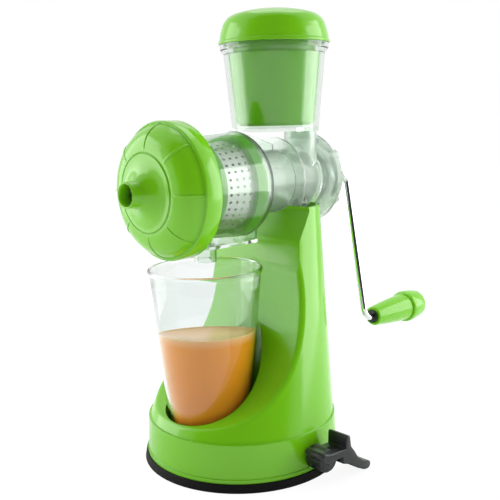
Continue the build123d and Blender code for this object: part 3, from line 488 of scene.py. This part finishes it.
class JUICER_OT_front_cap(bpy.types.Operator):
    """Front cap with its rim, ribbed dome, ring and pulp nozzle"""

    bl_idname = "juicer.front_cap"
    bl_label = "Front cap"

    def execute(self, context):
        # rim
        outline = [(46.9, -57.0), (48.9, -57.0), (49.3, -57.5), (49.3, -70.1), (49.0, -70.8)]
        outline += [(48.3, -71.1), (47.6, -70.7), (47.1, -70.9)]
        # dome, its ring, and the waisted foot and mouth of the nozzle
        outline += bow((46.9, -71.4), (29.2, -84.9), 3.6, 14)
        outline += [(28.6, -84.9), (28.2, -84.3), (27.6, -84.5)]
        outline += bow((27.2, -85.4), (9.3, -93.5), -2.3, 12)
        outline += [(9.3, -100.7), (9.0, -101.4), (8.5, -101.7), (8.0, -101.5), (7.6, -100.9)]
        # back through the bore and along the inside to the seat of the gasket
        outline += bow((7.6, -93.5), (24.3, -83.0), 2.0, 8)
        outline += bow((26.0, -82.4), (43.4, -68.9), -3.2, 10)
        outline += [(43.4, -67.9), (46.9, -67.9)]
        cap = turned("cap_dome", outline, BARREL, ALONG_Y, steps=128)
        ribs = []
        count = context.scene.juicer_sizes.cap_ribs
        ridge = bow((47.4, -70.9), (29.4, -85.0), 3.9, 14)
        corners = [(-0.85, -0.2), (0.85, -0.2), (0.85, 1.8), (-0.85, 1.8)]
        for turn in range(count):
            r, y = ridge[0]
            rib = drawn("rib", [BARREL + Vector((x, y + d, r)) for x, d in corners])
            bpy.ops.mesh.edge_face_add()
            for (r0, y0), (r1, y1) in zip(ridge, ridge[1:]):
                bpy.ops.mesh.extrude_region_move(
                    TRANSFORM_OT_translate={"value": Vector((0, y1 - y0, r1 - r0)) * MM}
                )
            # the inner end dips into the ring
            bpy.ops.transform.translate(value=(0, 0.9 * MM, -1.2 * MM))
            bpy.ops.mesh.select_all(action="SELECT")
            bpy.ops.mesh.normals_make_consistent(inside=False)
            bpy.ops.transform.rotate(
                value=2 * pi * turn / count, orient_axis="Y", center_override=BARREL * MM
            )
            bpy.ops.object.mode_set(mode="OBJECT")
            soften(rib, 0.5)
            ribs.append(rib)
        shell = join([cap] + ribs, "front_cap_shell")
        complete(shell, "green_shell", "front_cap", angle=50)
        return {"FINISHED"}


class JUICER_OT_lid(bpy.types.Operator):
    """Domed hopper lid with its rolled lower edge and inner skirt"""

    bl_idname = "juicer.lid"
    bl_label = "Hopper lid"

    def execute(self, context):
        # crown, shoulder and rolled lower edge
        outline = [(0, 345.9)]
        outline += bow((6.0, 345.85), (27.0, 342.9), 0.5, 8)
        outline += bow((29.0, 342.3), (40.6, 331.0), 2.6, 14)
        outline += bow((40.9, 330.2), (42.6, 321.9), 0.2, 5)
        outline += [(43.3, 321.4), (43.5, 320.7), (43.5, 319.7), (43.1, 319.3)]
        # inside, then down and up the skirt
        outline += [(41.6, 319.3), (41.3, 319.8), (41.1, 326.6)]
        outline += bow((39.6, 328.6), (32.16, 338.6), -1.4, 8)
        outline += [(32.16, 300.0), (29.96, 300.0), (29.96, 340.9), (24.0, 342.6), (0, 343.6)]
        lid = turned("hopper_lid_shell", outline, HOPPER, ALONG_Z, steps=128, closed=False)
        complete(lid, "green_shell", "hopper_lid", angle=40)
        return {"FINISHED"}


class JUICER_OT_strainer(bpy.types.Operator):
    """Steel cone pierced with rows of small round holes"""

    bl_idname = "juicer.strainer"
    bl_label = "Strainer"

    def execute(self, context):
        sizes = context.scene.juicer_sizes
        length = STRAINER_LENGTH * MM
        bpy.ops.object.select_all(action="DESELECT")
        bpy.ops.mesh.primitive_cone_add(
            vertices=sizes.strainer_columns, end_fill_type="NOTHING", depth=length,
            radius1=STRAINER_FRONT_RADIUS * MM, radius2=STRAINER_REAR_RADIUS * MM,
            location=(0, STRAINER_MIDDLE * MM, BARREL.z * MM), rotation=(-pi / 2, 0, 0),
        )
        cone = context.object
        cone.name = cone.data.name = "strainer_sheet"
        bpy.ops.object.transform_apply(location=True, rotation=True, scale=True)
        bpy.ops.object.mode_set(mode="EDIT")
        bpy.ops.mesh.select_mode(type="EDGE")
        select_where(
            cone, lambda e: abs(e.verts[0].co.y - e.verts[1].co.y) > length / 2, "edges"
        )
        bpy.ops.mesh.subdivide(number_cuts=sizes.strainer_rows - 1)
        bpy.ops.mesh.select_mode(type="FACE")
        bpy.ops.mesh.select_all(action="SELECT")
        rim = (length / sizes.strainer_rows - sizes.strainer_hole) / 2
        bpy.ops.mesh.inset(thickness=rim, use_individual=True)
        bpy.ops.mesh.delete(type="FACE")
        bpy.ops.object.mode_set(mode="OBJECT")
        # the square openings turn round when the mesh is smoothed
        modify(cone, "SUBSURF", levels=1, render_levels=1)
        modify(cone, "SOLIDIFY", thickness=STRAINER_SHEET * MM, offset=-1)
        complete(cone, "strainer_steel", "strainer", angle=60)
        return {"FINISHED"}


class JUICER_OT_cup(bpy.types.Operator):
    """Clear tapered cup with a rounded foot and a beaded rim"""

    bl_idname = "juicer.cup"
    bl_label = "Juice cup"

    def execute(self, context):
        # foot, outer wall and bead, then down the inside to the floor
        outline = [(0, 35.6), (26.5, 35.6), (27.5, 34.8), (29.9, 34.8), (31.0, 35.3), (31.6, 36.4)]
        outline += [(41.9, 150.2), (42.7, 151.0), (43.0, 152.0), (43.0, 153.6), (42.6, 154.3)]
        outline += [(41.9, 154.6), (41.2, 154.4), (40.8, 153.7), (40.4, 151.6)]
        outline += [(30.0, 39.0), (29.2, 37.8), (0, 37.4)]
        cup = turned("cup_wall", outline, CUP, ALONG_Z, steps=128, closed=False)
        complete(cup, "clear_cup", "juice_cup", angle=40)
        return {"FINISHED"}


class JUICER_OT_juice(bpy.types.Operator):
    """Juice that fills the cup to its level, with a meniscus at the wall"""

    bl_idname = "juicer.juice"
    bl_label = "Juice"

    def execute(self, context):
        level = context.scene.juicer_sizes.juice_level / MM
        wall = CUP_INNER_RADIUS + (level - CUP_INNER_HEIGHT) * CUP_FLARE
        outline = [(0, 37.55), (29.1, 37.95), (29.8, 39.2)]
        outline += [(wall, level + 0.9), (wall - 0.5, level + 0.3), (wall - 1.6, level), (0, level)]
        juice = turned("juice_fill", outline, CUP, ALONG_Z, steps=96, closed=False)
        complete(juice, "juice", body="cup", angle=50)
        return {"FINISHED"}


class JUICER_OT_lever(bpy.types.Operator):
    """Vacuum lever: hub, flat bar, upright tab and bent arm with a rounded tip"""

    bl_idname = "juicer.lever"
    bl_label = "Vacuum lever"

    def execute(self, context):
        # along the top of the bar, over the tab, down the arm and round its tip
        side = [(-13.0, 27.4), (-10.5, 28.4), (-4.0, 26.4), (12.0, 25.2), (12.4, 33.6)]
        side += [(13.4, 35.0), (16.6, 34.2), (18.0, 25.4), (22.0, 20.6), (26.0, 14.6), (33.0, 9.6)]
        side += [(37.4, 8.2), (40.2, 6.6), (40.9, 4.4), (39.8, 2.2), (37.4, 1.2)]
        # back along the underside
        side += [(33.2, 2.0), (26.0, 5.6), (18.0, 11.4), (8.8, 14.6), (8.8, 20.0), (-8.0, 20.0)]
        side += [(-12.6, 23.6), (-13.6, 25.6)]
        arm = drawn("lever_arm", [(LEVER_START, y, z) for y, z in side])
        bpy.ops.mesh.edge_face_add()
        bpy.ops.mesh.extrude_region_move(
            TRANSFORM_OT_translate={"value": (LEVER_WIDTH * MM, 0, 0)}
        )
        bpy.ops.mesh.select_all(action="SELECT")
        bpy.ops.mesh.normals_make_consistent(inside=False)
        bpy.ops.object.mode_set(mode="OBJECT")
        soften(arm, context.scene.juicer_sizes.lever_edge / MM, angle=25)
        # outer face and wall of the hub, then its bore
        outline = [(0, 93.0), (5.0, 92.9), (7.6, 92.2), (8.8, 90.8), (8.8, 77.4), (8.0, 76.6)]
        outline += [(3.0, 76.6), (3.0, 92.2), (0, 92.2)]
        hub = turned("lever_hub", outline, LEVER, ALONG_X, steps=64, closed=False)
        complete(join([arm, hub], "lever_moulding"), "black_plastic", "lock_lever")
        return {"FINISHED"}


class JUICER_OT_grip(bpy.types.Operator):
    """Conical grip and the rounded cap on its end"""

    bl_idname = "juicer.grip"
    bl_label = "Grip"

    def execute(self, context):
        # recess round the rod, collar and cone
        outline = [(2.98, 146.0), (5.2, 146.0), (5.4, 141.6), (6.0, 141.1), (7.6, 141.1)]
        outline += [(8.3, 141.7)]
        outline += bow((8.5, 142.8), (12.1, 184.8), -0.5, 8)
        outline += [(12.2, 185.5), (11.8, 186.0), (2.98, 186.0)]
        grip = turned("grip_cone", outline, GRIP, ALONG_Y, steps=64)
        complete(grip, "green_shell", "crank_grip")
        # bore for the rod's end, shoulder, and the blunt end
        outline = [(0, 201.0), (2.98, 200.9), (2.98, 186.05), (12.8, 186.05), (13.7, 186.5)]
        outline += [(14.1, 187.4)]
        outline += bow((14.3, 188.6), (12.6, 204.2), -0.3, 6)
        outline += [(12.2, 205.8), (11.3, 207.0), (9.9, 207.7), (6.6, 208.0), (0, 208.0)]
        cap = turned("grip_end", outline, GRIP, ALONG_Y, steps=64, closed=False)
        complete(cap, "green_shell", "grip_cap")
        return {"FINISHED"}


# ------------------------------------------------------------------ stage
def softbox(name, turn, height, distance, width, tall, glow):
    """A soft lamp aimed at the object, placed by its turn from the camera's side of it."""
    heading = radians(CAMERA_TURN - 90 + turn)
    target = Vector((0, 0, 0.17))
    place = target + Vector((cos(heading), sin(heading), 0)) * distance + Vector((0, 0, height))
    bpy.ops.object.light_add(type="AREA", location=place)
    lamp = bpy.context.object
    lamp.name = name
    lamp.data.shape = "RECTANGLE"
    lamp.data.size, lamp.data.size_y = width, tall
    lamp.data.energy = glow * 4 * width * tall
    lamp.rotation_euler = (target - place).to_track_quat("-Z", "Y").to_euler()


def seen_share(tree):
    """1 for rays from the camera and through clear pieces, 0 for others."""
    path = add_node(tree, "LightPath").outputs
    inputs = {0: path["Is Camera Ray"], 1: path["Is Transmission Ray"]}
    return add_node(tree, "Math", inputs, operation="MAXIMUM").outputs[0]


class JUICER_OT_stage(bpy.types.Operator):
    """Pale floor, white surroundings, soft lamps and the camera"""

    bl_idname = "juicer.stage"
    bl_label = "Stage"

    def execute(self, context):
        scene = context.scene
        bpy.ops.object.select_all(action="DESELECT")
        bpy.ops.mesh.primitive_plane_add(size=6.0, location=(0, 0, 0))
        floor = context.object
        floor.name = "floor"
        material, tree = new_material("white paper floor")
        paper = add_node(tree, "BsdfDiffuse", {"Color": (0.9, 0.9, 0.9, 1)}).outputs[0]
        glow = add_node(tree, "Emission", {"Color": (1, 1, 1, 1), "Strength": 1.06}).outputs[0]
        # mostly white to the eye and through clear pieces, with the object's shadow left on it
        share = add_node(tree, "Math", {0: seen_share(tree), 1: 0.86}, operation="MULTIPLY")
        mixed = mix(tree, share.outputs[0], paper, glow)
        add_node(tree, "OutputMaterial", {"Surface": mixed})
        floor.data.materials.append(material)

        scene.world = bpy.data.worlds.new("white room")
        scene.world.use_nodes = True
        tree = scene.world.node_tree
        tree.nodes.clear()
        # the room is dim behind the camera, most of all in gloss, so that pieces have dark middles
        way = add_node(tree, "TexCoord").outputs["Generated"]
        heading = radians(CAMERA_TURN - 90)
        toward = (cos(heading), sin(heading), 0.45)
        facing = add_node(tree, "VectorMath", {0: way, 1: toward}, operation="DOT_PRODUCT")
        matt, gloss, white = (
            add_node(tree, "Background", {"Color": (1, 1, 1, 1), "Strength": strength}).outputs[0]
            for strength in (
                ramp(tree, facing.outputs["Value"], MATT_SIDES, MATT_FRONT, 0.42, 0.66),
                ramp(tree, facing.outputs["Value"], GLOSS_SIDES, GLOSS_FRONT, 0.42, 0.66),
                1.0,
            )
        )
        glossy = add_node(tree, "LightPath").outputs["Is Glossy Ray"]
        mixed = mix(tree, seen_share(tree), mix(tree, glossy, matt, gloss), white)
        add_node(tree, "OutputWorld", {"Surface": mixed})

        for lamp in SOFTBOXES:
            softbox(*lamp)

        bpy.ops.object.camera_add()
        camera = context.object
        camera.name = "photo camera"
        turn, pitch, roll = (radians(a) for a in (CAMERA_TURN, CAMERA_PITCH, CAMERA_ROLL))
        ahead = Vector((-sin(turn) * cos(pitch), cos(turn) * cos(pitch), -sin(pitch)))
        right = Vector((cos(turn), sin(turn), 0))
        up = right.cross(ahead)
        across, upward = right * cos(roll) + up * sin(roll), up * cos(roll) - right * sin(roll)
        camera.matrix_world = Matrix.Translation(CAMERA_PLACE) @ Matrix(
            (across, upward, -ahead)
        ).transposed().to_4x4()
        camera.data.lens = CAMERA_LENS
        camera.data.sensor_width = CAMERA_SENSOR
        camera.data.clip_start = 0.01
        scene.camera = camera
        scene.view_settings.view_transform = "Standard"
        return {"FINISHED"}


class JUICER_PT_pieces(bpy.types.Panel):
    """Lists the juicer's settings and pieces"""

    bl_idname = "JUICER_PT_pieces"
    bl_label = "Juicer"
    bl_space_type = "VIEW_3D"
    bl_region_type = "UI"
    bl_category = "Juicer"

    def draw(self, context):
        for group in (context.scene.juicer_finishes, context.scene.juicer_sizes):
            box = self.layout.box()
            for name in group.__annotations__:
                box.prop(group, name)
        for operator in OPERATORS:
            self.layout.operator(operator.bl_idname)


OPERATORS = (
    JUICER_OT_stage, JUICER_OT_node_finishes, JUICER_OT_front_cap, JUICER_OT_lid,
    JUICER_OT_strainer, JUICER_OT_cup, JUICER_OT_juice, JUICER_OT_lever, JUICER_OT_grip,
)
CLASSES = (JuicerFinishes, JuicerSizes) + OPERATORS + (JUICER_PT_pieces,)


def register():
    for cls in CLASSES:
        bpy.utils.register_class(cls)
    bpy.types.Scene.juicer_finishes = PointerProperty(type=JuicerFinishes)
    bpy.types.Scene.juicer_sizes = PointerProperty(type=JuicerSizes)


def unregister():
    del bpy.types.Scene.juicer_sizes
    del bpy.types.Scene.juicer_finishes
    for cls in reversed(CLASSES):
        bpy.utils.unregister_class(cls)


def main():
    register()
    for operator in OPERATORS:
        group, name = operator.bl_idname.split(".")
        if getattr(getattr(bpy.ops, group), name)() != {"FINISHED"}:
            raise RuntimeError(operator.bl_label + " did not finish")


if __name__ == "__main__":
    main()
